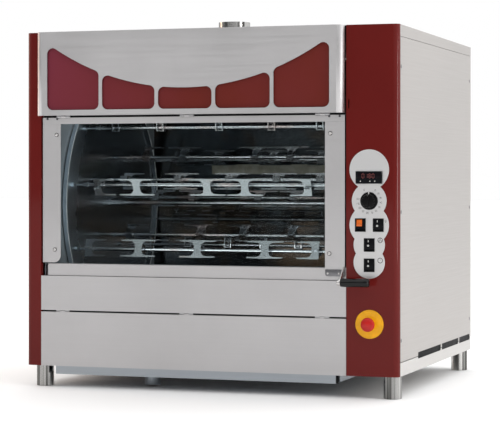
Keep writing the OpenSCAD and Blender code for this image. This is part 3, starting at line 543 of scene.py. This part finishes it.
def make_door_trim():
    """Screws on the door: small dark ones along the top rail, domed ones on the side rails and bracket."""
    low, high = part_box("door_rails")
    y = low.y
    top_xs = (low.x + 15 * MM, low.x + 47 * MM, high.x - 46 * MM, high.x - 15 * MM)
    top_places = [(x, y, high.z - 9 * MM) for x in top_xs]
    sunk = [(3.4 * MM, 0), (3.3 * MM, 0.08 * MM), (2.2 * MM, 0.1 * MM), (1.4 * MM, 0.04 * MM), (0, 0.04 * MM)]
    add_turned("top_rail_screws", [(place, sunk) for place in top_places], "door", DARK_STEEL)
    side_places = [(low.x + 45 * MM, y, high.z - 57 * MM), (low.x + 39 * MM, y, high.z - 401 * MM),
                   (high.x - 43 * MM, y, high.z - 58 * MM), (high.x - 46 * MM, y, high.z - 402 * MM)]
    add_screws_on_shadow_rings("side_rail_screws", side_places, "door", 5.0 * MM)
    make_bracket_cover(low, high)
    bracket_places = [(high.x - x * MM, y - 1 * MM, low.z + 9 * MM) for x in (50, 17)]
    bracket_screws = [(place, domed_head(3.0 * MM)) for place in bracket_places]
    add_turned("bracket_screws", bracket_screws, "door", SCREW_STEEL)


GRIP_R = 12.5 * MM
LEVER_T = 5 * MM


def make_grip(grip_x, axis_y, axis_z, length):
    """Moulded grip, slightly waisted, rounded at both ends."""
    r = GRIP_R
    grip = [(0, 0), (0.80 * r, 0), (0.93 * r, 0.8 * MM), (0.97 * r, 3 * MM), (r, 10 * MM),
            (0.985 * r, length * 0.35), (0.96 * r, length * 0.55), (0.985 * r, length * 0.78),
            (r, length - 9 * MM), (0.94 * r, length - 3 * MM), (0.78 * r, length - 0.8 * MM),
            (0.5 * r, length), (0, length)]
    mesh = bmesh.new()
    add_lathe(mesh, grip, (grip_x, axis_y, axis_z), (1, 0, 0), 40)
    piece = add_piece("handle_grip", finished(mesh), "door", MATERIALS["grip_plastic"])
    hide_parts("door_handle")


def make_cap(x, axis_y, axis_z):
    """Polished cap at the grip's inner end."""
    cap = [(0, 0), (5.0 * MM, 0), (7.2 * MM, 1.2 * MM), (8 * MM, 3.4 * MM), (8 * MM, 7 * MM), (0, 7 * MM)]
    mesh = bmesh.new()
    add_lathe(mesh, cap, (x, axis_y, axis_z), (1, 0, 0), 32)
    add_piece("handle_cap", finished(mesh), "door", SCREW_STEEL)


def make_lever(lever_x, axis_y, axis_z):
    """Flat lever from the rail's front out to the grip, rounded about the grip's axis."""
    rail_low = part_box("door_rails")[0]
    top, bottom = rail_low.z + 29 * MM, rail_low.z + 2 * MM
    angles = [math.radians(130 + 14 * i) for i in range(12)]
    eye_r = 10 * MM
    arc = [(axis_y + eye_r * math.cos(a), axis_z + eye_r * math.sin(a)) for a in angles]
    outline = [(rail_low.y, bottom), (rail_low.y, top), (rail_low.y - 6 * MM, top - 3 * MM)] + arc
    mesh = bmesh.new()
    side = mesh.faces.new([mesh.verts.new((lever_x, y, z)) for y, z in outline])
    grown = bmesh.ops.extrude_face_region(mesh, geom=[side])
    moved = [v for v in grown["geom"] if isinstance(v, bmesh.types.BMVert)]
    bmesh.ops.translate(mesh, verts=moved, vec=(LEVER_T, 0, 0))
    add_piece("handle_lever", finished(mesh, 0.6 * MM), "door", SCREW_STEEL)


def make_handle():
    low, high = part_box("door_handle")
    axis_y = low.y + GRIP_R
    axis_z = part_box("upper_fascia")[1].z - 2.5 * MM
    lever_x = low.x + 7 * MM
    grip_x = lever_x + LEVER_T
    make_grip(grip_x, axis_y, axis_z, high.x - grip_x)
    make_cap(low.x, axis_y, axis_z)
    make_lever(lever_x, axis_y, axis_z)


make_door_trim()
make_handle()


# ---------------------------------------------------------------- controls

PRINT_T = 0.1 * MM                        # thickness of printed marks
plate_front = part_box("control_plate")[0].y
knob_centre = middle("timer_knob")


def make_knob_skirt(place, r):
    skirt = [(0, 0), (r, 0), (r, 1.6 * MM), (r - 1.2 * MM, 3.2 * MM), (r - 5.5 * MM, 4.4 * MM), (0, 4.4 * MM)]
    mesh = bmesh.new()
    add_lathe(mesh, skirt, place, (0, -1, 0), 64)
    piece = add_piece("knob_skirt", finished(mesh), "knob", MATERIALS["knob_plastic"])
    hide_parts("timer_knob")


def make_knob_body(place, r, top, height):
    """Fluted body; top is its radius near the outer end."""
    body = [(0, 4.2 * MM), (r - 5.2 * MM, 4.2 * MM), (top, height - 6.6 * MM),
            (top - 1.0 * MM, height - 4.9 * MM), (top - 3.0 * MM, height - 4.2 * MM), (0, height - 4.6 * MM)]
    mesh = bmesh.new()
    add_lathe(mesh, body, place, (0, -1, 0), steps=144, flutes=12, depth=0.10)
    add_piece("knob_body", finished(mesh), "knob", MATERIALS["knob_plastic"])


def make_knob_ridge(cx, cz, front, top):
    reach, half_w = top - 1.5 * MM, 3.2 * MM
    mesh = bmesh.new()
    add_slab(mesh, (cx - half_w, front, cz - reach), (cx + half_w, plate_front - 6 * MM, cz + reach))
    add_piece("knob_ridge", finished(mesh, 1.2 * MM, 3), "knob", MATERIALS["knob_plastic"])


def make_knob_mark(cx, cz, front, r, top):
    """White pointer, in one part on the skirt and one on the ridge."""
    mesh = bmesh.new()
    add_slab(mesh, (cx - 1.4 * MM, plate_front - 5.4 * MM, cz + r - 7.5 * MM),
             (cx + 1.4 * MM, plate_front - 1.9 * MM, cz + r - 0.2 * MM))
    add_slab(mesh, (cx - 0.9 * MM, front, cz + top - 7 * MM),
             (cx + 0.9 * MM, front + 2 * MM, cz + top - 2.2 * MM))
    add_piece("knob_mark", finished(mesh, 0.3 * MM), "knob", PRINT_WHITE)


def make_knob():
    """Round knob on a skirt, with a finger ridge across it and a white mark at its top edge."""
    low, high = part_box("timer_knob")
    r = (high.x - low.x) / 2
    top = r - 6.5 * MM
    gap = 0.4 * MM
    cx, cz = knob_centre.x, knob_centre.z
    place = (cx, plate_front - gap, cz)
    make_knob_skirt(place, r)
    make_knob_body(place, r, top, plate_front - low.y - gap)
    make_knob_ridge(cx, cz, low.y, top)
    make_knob_mark(cx, cz, low.y, r, top)


# The ends of each segment, in widths and half heights from the lower left, and the segments of each figure
SEGMENTS = {"a": ((0, 2), (1, 2)), "b": ((1, 1), (1, 2)), "c": ((1, 0), (1, 1)), "d": ((0, 0), (1, 0)),
            "e": ((0, 0), (0, 1)), "f": ((0, 1), (0, 2)), "g": ((0, 1), (1, 1))}
FIGURES = {"0": "abcdef", "1": "bc", "2": "abged", "3": "abgcd", "4": "fgbc", "5": "afgcd", "6": "afgedc",
           "7": "abc", "8": "abcdefg", "9": "abcdfg"}


def add_figure(mesh, figure, x, z, width, height, y):
    """One seven-segment figure with its lower left corner at x, z."""
    bar = width * 0.40
    for segment in FIGURES[figure]:
        (x0, z0), (x1, z1) = SEGMENTS[segment]
        ax, bx = x + x0 * width, x + x1 * width
        az, bz = z + z0 * height / 2, z + z1 * height / 2
        half, gap = bar / 2, bar * 0.6
        if x0 == x1:
            outline = rectangle(ax - half, ax + half, az + gap, bz - gap)
        else:
            outline = rectangle(ax + gap, bx - gap, az - half, az + half)
        add_plate_on_front(mesh, outline, y, PRINT_T)


def add_number(mesh, text, x, z, width, height, y):
    """A row of figures centred on x, z."""
    pitch = width * 1.55
    left = x - (pitch * (len(text) - 1) + width) / 2
    for i, figure in enumerate(text):
        add_figure(mesh, figure, left + i * pitch, z - height / 2, width, height, y)


def make_dial_marks():
    """Plain minute numbers round the knob, with the off position on its own at the upper left."""
    mesh = bmesh.new()
    radius = 34.5 * MM
    first, pitch, off = 61, 22.8, 115
    angles = [first - pitch * i for i in range(12)] + [off]
    numbers = [str(10 * (i + 1)) for i in range(12)] + ["0"]
    for angle, text in zip(angles, numbers):
        a = math.radians(angle)
        x, z = knob_centre.x + radius * math.cos(a), knob_centre.z + radius * math.sin(a)
        add_number(mesh, text, x, z, 2.3 * MM, 4.6 * MM, plate_front)
    add_piece("dial_marks", finished(mesh), "cabinet", PRINT_BLACK)


def ring_outline(cx, cz, r, steps=24):
    angles = [2 * math.pi * i / steps for i in range(steps)]
    return [(cx + r * math.cos(a), cz + r * math.sin(a)) for a in angles]


def add_ring(mesh, cx, cz, r, width, steps=32):
    """A flat ring printed on the control plate."""
    y = plate_front - PRINT_T
    rows = []
    for radius in (r - width, r):
        rows.append([mesh.verts.new((x, y, z)) for x, z in ring_outline(cx, cz, radius, steps)])
    for i in range(steps):
        j = (i + 1) % steps
        mesh.faces.new((rows[0][i], rows[1][i], rows[1][j], rows[0][j]))


def make_display():
    """Dark screen with four dim figures, a bar along its lower edge and a white mark on each button."""
    low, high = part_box("display")
    cx = (low.x + high.x) / 2
    z0, z1 = low.z + 13 * MM, high.z - 4 * MM
    mesh = bmesh.new()
    add_slab(mesh, (low.x + 2 * MM, low.y - 0.3 * MM, z0 - 1 * MM),
             (high.x - 2 * MM, low.y - 0.02 * MM, z0 + 0.6 * MM))
    add_piece("display_bar", finished(mesh), "cabinet", MATERIALS["black_plastic"])
    mesh = bmesh.new()
    add_slab(mesh, (low.x + 5.1 * MM, low.y + 0.4 * MM, z0 + 0.1 * MM),
             (high.x - 5.1 * MM, low.y + 0.98 * MM, z1 - 0.1 * MM))
    add_piece("display_screen", finished(mesh, 0.15 * MM), "cabinet", SCREEN)
    mesh = bmesh.new()
    add_number(mesh, "0180", cx - 2 * MM, (z0 + z1) / 2, 6.4 * MM, 12.0 * MM, low.y + 0.4 * MM)
    add_piece("display_figures", finished(mesh), "cabinet", DIGITS)
    for i in (1, 2, 3):
        mesh = bmesh.new()
        button = middle(f"display_button_{i}")
        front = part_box(f"display_button_{i}")[0].y
        add_plate_on_front(mesh, ring_outline(button.x, button.z, 1.4 * MM), front, 0.05 * MM)
        add_piece(f"button_mark_{i}", finished(mesh), f"button_{i}", PRINT_WHITE)


ROCKER_TILT = math.radians(-10)           # how far a rocker is tipped at rest
ROCKER_PIVOT = 5 * MM                     # from the plate's front back to the pivot
ROCKER_HALF = 16 * MM                     # height of each half of a rocker


def on_rocker(cx, cz, mesh):
    """Tilts a mesh made upright about a rocker's pivot line."""
    bmesh.ops.rotate(mesh, verts=mesh.verts, cent=(cx, plate_front + ROCKER_PIVOT, cz),
                     matrix=Matrix.Rotation(ROCKER_TILT, 3, "X"))


def half_edges(cz, upper):
    """The slope of one half of a rocker: its inner and outer edge as (y, z), upright."""
    pivot_y = plate_front + ROCKER_PIVOT
    sign = 1 if upper else -1
    return (pivot_y - 6 * MM, cz), (pivot_y - 7.5 * MM, cz + sign * (ROCKER_HALF - 1 * MM))


def add_on_half(mesh, outline, cz, upper, lift):
    """A thin plate lying on one half of a rocker; outline is (x, share of the half) points."""
    (y0, z0), (y1, z1) = half_edges(cz, upper)
    places = [(x, y0 + (y1 - y0) * share, z0 + (z1 - z0) * share) for x, share in outline]
    add_prism(mesh, [(x, y - lift, z) for x, y, z in places], [(x, y + 0.3 * MM, z) for x, y, z in places])


def make_rocker_marks(node, body):
    """A white bar on a rocker's upper half and a white ring on its lower half."""
    centre = middle(node)
    cx, cz = centre.x - 3 * MM, centre.z
    mesh = bmesh.new()
    add_on_half(mesh, rectangle(cx - 0.9 * MM, cx + 0.9 * MM, 0.38, 0.78), cz, True, PRINT_T)
    steps = 20
    inner, outer = 1.5 * MM, 2.9 * MM
    for i in range(steps):
        corners = []
        for k, r in ((i, inner), (i, outer), (i + 1, outer), (i + 1, inner)):
            a = 2 * math.pi * k / steps
            corners.append((cx + r * math.cos(a), 0.30 + r * math.sin(a) / ROCKER_HALF))
        add_on_half(mesh, corners, cz, False, PRINT_T)
    on_rocker(centre.x, cz, mesh)
    add_piece(node + "_marks", finished(mesh), body, PRINT_WHITE, smooth=False)


def make_rocker_body(node, body):
    """A rocker with two sloping halves, tipped as at rest."""
    centre = middle(node)
    low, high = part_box(node)
    pivot_y = plate_front + ROCKER_PIVOT
    profile = [(0, -13), (-7.5, -15), (-6, 0), (-7.5, 15), (0, 13), (5, 5), (5, -5)]
    outline = [(pivot_y + y * MM, centre.z + z * MM) for y, z in profile]
    mesh = bmesh.new()
    add_prism(mesh, [(low.x, y, z) for y, z in outline], [(high.x, y, z) for y, z in outline])
    finished(mesh, 0.5 * MM)
    on_rocker(centre.x, centre.z, mesh)
    piece = add_piece(node + "_body", mesh, body, MATERIALS["rocker_plastic"])
    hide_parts(node)


def make_lens():
    """Lit orange lens let into the upper left part of the power rocker."""
    centre = middle("power_rocker")
    x0, x1 = centre.x - 11 * MM, centre.x + 5 * MM
    lift = 0.35 * MM
    mesh = bmesh.new()
    add_on_half(mesh, rectangle(x0, x1, 0.02, 0.86), centre.z, True, lift)
    add_on_half(mesh, rectangle(x0, x1, 0.02, 0.40), centre.z, False, lift)
    finished(mesh)
    on_rocker(centre.x, centre.z, mesh)
    add_piece("power_lens", mesh, "power_switch", MATERIALS["lit_rocker"], smooth=False)


def add_print(mesh, cx, half_w, bottom, top):
    """A small upright bar printed on the control plate."""
    add_plate_on_front(mesh, rectangle(cx - half_w, cx + half_w, bottom, top), plate_front, PRINT_T)


def make_icons():
    """Small printed pictures beside the switches: a bulb, a turning rotor and a dial."""
    mesh = bmesh.new()
    light, rotor, heat = middle("light_rocker"), middle("rotor_rocker"), middle("heat_rocker")
    bulb_x = light.x + 21.5 * MM
    add_ring(mesh, bulb_x, light.z + 11 * MM, 2.6 * MM, 0.6 * MM)
    add_print(mesh, bulb_x, 0.7 * MM, light.z + 5.5 * MM, light.z + 8.2 * MM)
    icon_x = rotor.x + 32 * MM
    rotor_z, heat_z = rotor.z + 12.5 * MM, heat.z + 12.5 * MM
    for z in (rotor_z, heat_z):
        add_ring(mesh, icon_x, z, 7.6 * MM, 1.5 * MM)
    spread = 3.4 * MM
    for k in range(3):
        a = math.radians(90 + 120 * k)
        add_ring(mesh, icon_x + spread * math.cos(a), rotor_z + spread * math.sin(a), 2.1 * MM, 0.8 * MM, 16)
    add_print(mesh, icon_x, 0.3 * MM, heat_z - 0.3 * MM, heat_z + 4 * MM)
    add_piece("panel_icons", finished(mesh), "cabinet", PRINT_GREY, smooth=False)


def make_stop_rim():
    """A slightly raised rim round the yellow plate."""
    low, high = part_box("stop_plate")
    centre = middle("stop_mushroom")
    r = (high.x - low.x) / 2
    mesh = bmesh.new()
    rim = [(r - 2.4 * MM, 0), (r - 2.2 * MM, 0.5 * MM), (r - 1.2 * MM, 0.9 * MM), (r - 0.3 * MM, 0.4 * MM),
           (r - 0.05 * MM, 0)]
    add_lathe(mesh, rim, (centre.x, plate_front - 1 * MM, centre.z), (0, -1, 0), 72)
    add_piece("stop_rim", finished(mesh), "cabinet", MATERIALS["yellow_plastic"])


make_knob()
make_dial_marks()
make_display()
make_rocker_body("power_rocker", "power_switch")
make_lens()
for switch in ("light", "rotor", "heat"):
    make_rocker_marks(switch + "_rocker", switch + "_switch")
make_icons()
make_stop_rim()


# ---------------------------------------------------------------- casing screws and trim

CASING_SCREW_R = 5.8 * MM


def add_screws(name, places, direction):
    """Countersunk screws with a round drive recess, 0.2 mm proud of the casing."""
    r = CASING_SCREW_R
    head = [(r, -0.1 * MM), (0.96 * r, 0.15 * MM), (0.45 * r, 0.2 * MM), (0.38 * r, 0.05 * MM),
            (0, 0.05 * MM)]
    mesh = bmesh.new()
    for place in places:
        add_lathe(mesh, head, place, direction, 20)
    add_piece(name, finished(mesh), "cabinet", DARK_STEEL)


def make_casing_screws():
    """Three rows of screws at the front and rear of each side, and a ring of them round the back."""
    panel_low, panel_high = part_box("right_side_panel")
    left_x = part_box("left_side_panel")[0].x
    column_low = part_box("right_column")[0].z
    heights = [column_low + 102 * MM, column_low + 467 * MM, column_low + 880 * MM]
    depths = [panel_low.y + 8 * MM, panel_high.y - 20 * MM]
    places = [(y, z) for y in depths for z in heights]
    add_screws("right_panel_screws", [(panel_high.x, y, z) for y, z in places], (1, 0, 0))
    add_screws("left_panel_screws", [(left_x, y, z) for y, z in places], (-1, 0, 0))
    rear_low, rear_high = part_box("rear_panel")
    pitch = (rear_high.x - rear_low.x - 30 * MM) / 4
    xs = [rear_low.x + 15 * MM + i * pitch for i in range(5)]
    zs = [rear_low.z + 14 * MM, rear_high.z - 14 * MM]
    rear_places = [(x, z) for x in xs for z in zs] + [(x, (zs[0] + zs[1]) / 2) for x in (xs[0], xs[-1])]
    add_screws("rear_panel_screws", [(x, rear_high.y, z) for x, z in rear_places], (0, 1, 0))


def make_gap_shade_sheets():
    """Near-black sheets behind the slits above the door and above the lower flap: painted shade."""
    hood_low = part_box("hood_panel")[0]
    fascia_low, fascia_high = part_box("upper_fascia")
    column_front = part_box("right_column")[0].y
    mesh = bmesh.new()
    add_slab(mesh, (fascia_low.x + 3 * MM, column_front + 13 * MM, hood_low.z - 10 * MM),
             (fascia_high.x - 3 * MM, column_front + 14 * MM, hood_low.z + 1.2 * MM))
    add_slab(mesh, (fascia_low.x + 3 * MM, column_front + 18.6 * MM, fascia_low.z - 12 * MM),
             (fascia_high.x - 3 * MM, column_front + 19.6 * MM, fascia_low.z + 4 * MM))
    add_piece("gap_shade_sheets", finished(mesh, 0.2 * MM), "cabinet", SHADE_BLACK)


def make_vent_shade_sheets():
    """Near-black sheets inside the side members, behind the long slots low on both sides: painted shade."""
    for side in ("right", "left"):
        low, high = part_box(side + "_side_panel")
        outer, inward = (high.x, -1) if side == "right" else (low.x, 1)
        x0, x1 = sorted((outer + inward * 3.2 * MM, outer + inward * 4.2 * MM))
        mesh = bmesh.new()
        add_slab(mesh, (x0, low.y + 205 * MM, low.z - 11 * MM), (x1, low.y + 915 * MM, low.z + 13 * MM))
        add_piece(side + "_vent_shade_sheet", finished(mesh, 0.2 * MM), "cabinet", SHADE_BLACK)


def make_tray_end():
    """A near-black plate on the right end of the drip tray's front: painted shade on its folded end."""
    low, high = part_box("drip_tray")
    mesh = bmesh.new()
    add_slab(mesh, (high.x - 9 * MM, low.y - 0.5 * MM, high.z - 25 * MM),
             (high.x - 0.1 * MM, low.y - 0.05 * MM, high.z - 1 * MM))
    add_piece("tray_end_shade", finished(mesh, 0.15 * MM), "tray", SHADE_BLACK)


def make_disc_rim():
    """A pale ring on the left disc's turned edge: a painted highlight."""
    low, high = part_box("left_disc")
    centre = middle("left_disc")
    r = (high.z - low.z) / 2
    mesh = bmesh.new()
    edge = [(r - 3.0 * MM, -0.2 * MM), (r - 2.8 * MM, 1.2 * MM), (r - 0.3 * MM, 1.2 * MM),
            (r - 0.05 * MM, -0.2 * MM)]
    add_lathe(mesh, edge, (low.x + 12 * MM, centre.y, centre.z), (1, 0, 0), 160)
    add_piece("disc_rim", finished(mesh), "rotor", RIM_HIGHLIGHT)


make_casing_screws()
make_gap_shade_sheets()
make_vent_shade_sheets()
make_disc_rim()
make_tray_end()

FOLD_R = 0.7 * MM
for panel in ("hood_panel", "upper_fascia", "lower_flap", "door_rails", "sill", "left_column", "right_column",
              "top_cover", "drip_tray", "control_plate", "base_frame"):
    soften(panel, FOLD_R)


# ---------------------------------------------------------------- studio

def make_floor():
    mesh = bmesh.new()
    size = 40.0
    corners = [mesh.verts.new((x * size, y * size, 0)) for x, y in ((-1, -1), (1, -1), (1, 1), (-1, 1))]
    mesh.faces.new(corners)
    data = bpy.data.meshes.new("floor")
    mesh.to_mesh(data)
    mesh.free()
    floor = bpy.data.objects.new("floor", data)
    scene.collection.objects.link(floor)
    material, tree, shader = shader_material("floor", Roughness=0.6, Specular_IOR_Level=0.1)
    mottle = noise(tree, 1.5, (1, 1, 1), 3.0)
    pale = blend_colours(tree, mottle, (0.91, 0.91, 0.91), (0.94, 0.94, 0.94))
    tree.links.new(pale, shader.inputs["Base Color"])
    data.materials.append(material)


def area_light(name, place, target, size, power, colour=(1, 1, 1)):
    data = bpy.data.lights.new(name, "AREA")
    data.shape = "RECTANGLE"
    data.size, data.size_y = size
    data.energy = power
    data.color = colour
    light = bpy.data.objects.new(name, data)
    scene.collection.objects.link(light)
    light.location = place
    light.rotation_mode = "QUATERNION"
    light.rotation_quaternion = (Vector(target) - Vector(place)).to_track_quat("-Z", "Y")


def facing(tree, direction, vector):
    """How far a world direction points along a given one, from -1 to 1."""
    node = tree.nodes.new("ShaderNodeVectorMath")
    node.operation = "DOT_PRODUCT"
    tree.links.new(vector, node.inputs[0])
    node.inputs[1].default_value = Vector(direction).normalized()
    return node.outputs["Value"]


def make_world():
    """White to the camera; to everything else a room, bright above and behind, dim at the front left."""
    world = bpy.data.worlds.new("studio")
    scene.world = world
    world.use_nodes = True
    tree = world.node_tree
    background = tree.nodes["Background"]
    vector = tree.nodes.new("ShaderNodeTexCoord").outputs["Generated"]
    height = remap(tree, facing(tree, (0, 0, 1), vector), -0.05, 0.9, 0.30, 1.75)
    front = remap(tree, facing(tree, (-0.45, -0.89, 0), vector), 0.1, 1.0, 1.0, 0.35)
    rear = remap(tree, facing(tree, (0.5, 0.86, 0), vector), 0.5, 1.0, 1.0, 2.2)
    path = tree.nodes.new("ShaderNodeLightPath")
    mix = tree.nodes.new("ShaderNodeMix")
    tree.links.new(path.outputs["Is Camera Ray"], mix.inputs["Factor"])
    numbers = [s for s in mix.inputs if s.type == "VALUE" and s.name in ("A", "B")]
    room = combined(tree, "MULTIPLY", combined(tree, "MULTIPLY", height, front), rear)
    tree.links.new(room, numbers[0])
    numbers[1].default_value = 1.0
    tree.links.new([s for s in mix.outputs if s.type == "VALUE"][0], background.inputs["Strength"])
    background.inputs["Color"].default_value = (1, 1, 1, 1)


def make_lamps():
    """A box at the front left, thin lamps at the top and bottom of the cavity, a lamp at each side."""
    fascia_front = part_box("upper_fascia")[0].y
    sill_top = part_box("sill")[1].z
    area_light("front_box", (-1.6, -4.2, 2.9), (0, 0, 0.6), (1.8, 1.2), 10)
    area_light("cavity_lamp", (-0.03, fascia_front + 0.10, 0.905), (-0.03, fascia_front + 0.45, 0.45),
               (0.80, 0.05), 0.65)
    area_light("sill_lamp", (0.05, fascia_front + 0.07, sill_top + 0.01), (0.05, fascia_front + 0.45, 0.62),
               (0.80, 0.04), 0.9)
    area_light("right_strip", (3.4, -1.2, 1.0), (0.5, -0.2, 0.6), (0.25, 2.4), 26, (1, 0.97, 0.95))
    area_light("left_glow", (-2.8, 0.2, 0.9), (-0.5, -0.3, 0.6), (0.5, 2.2), 13, (1.0, 0.62, 0.42))


def make_studio():
    make_floor()
    make_world()
    make_lamps()
    scene.view_settings.view_transform = "Standard"
    scene.view_settings.look = "None"


make_studio()


def write_sizes():
    import json


write_sizes()
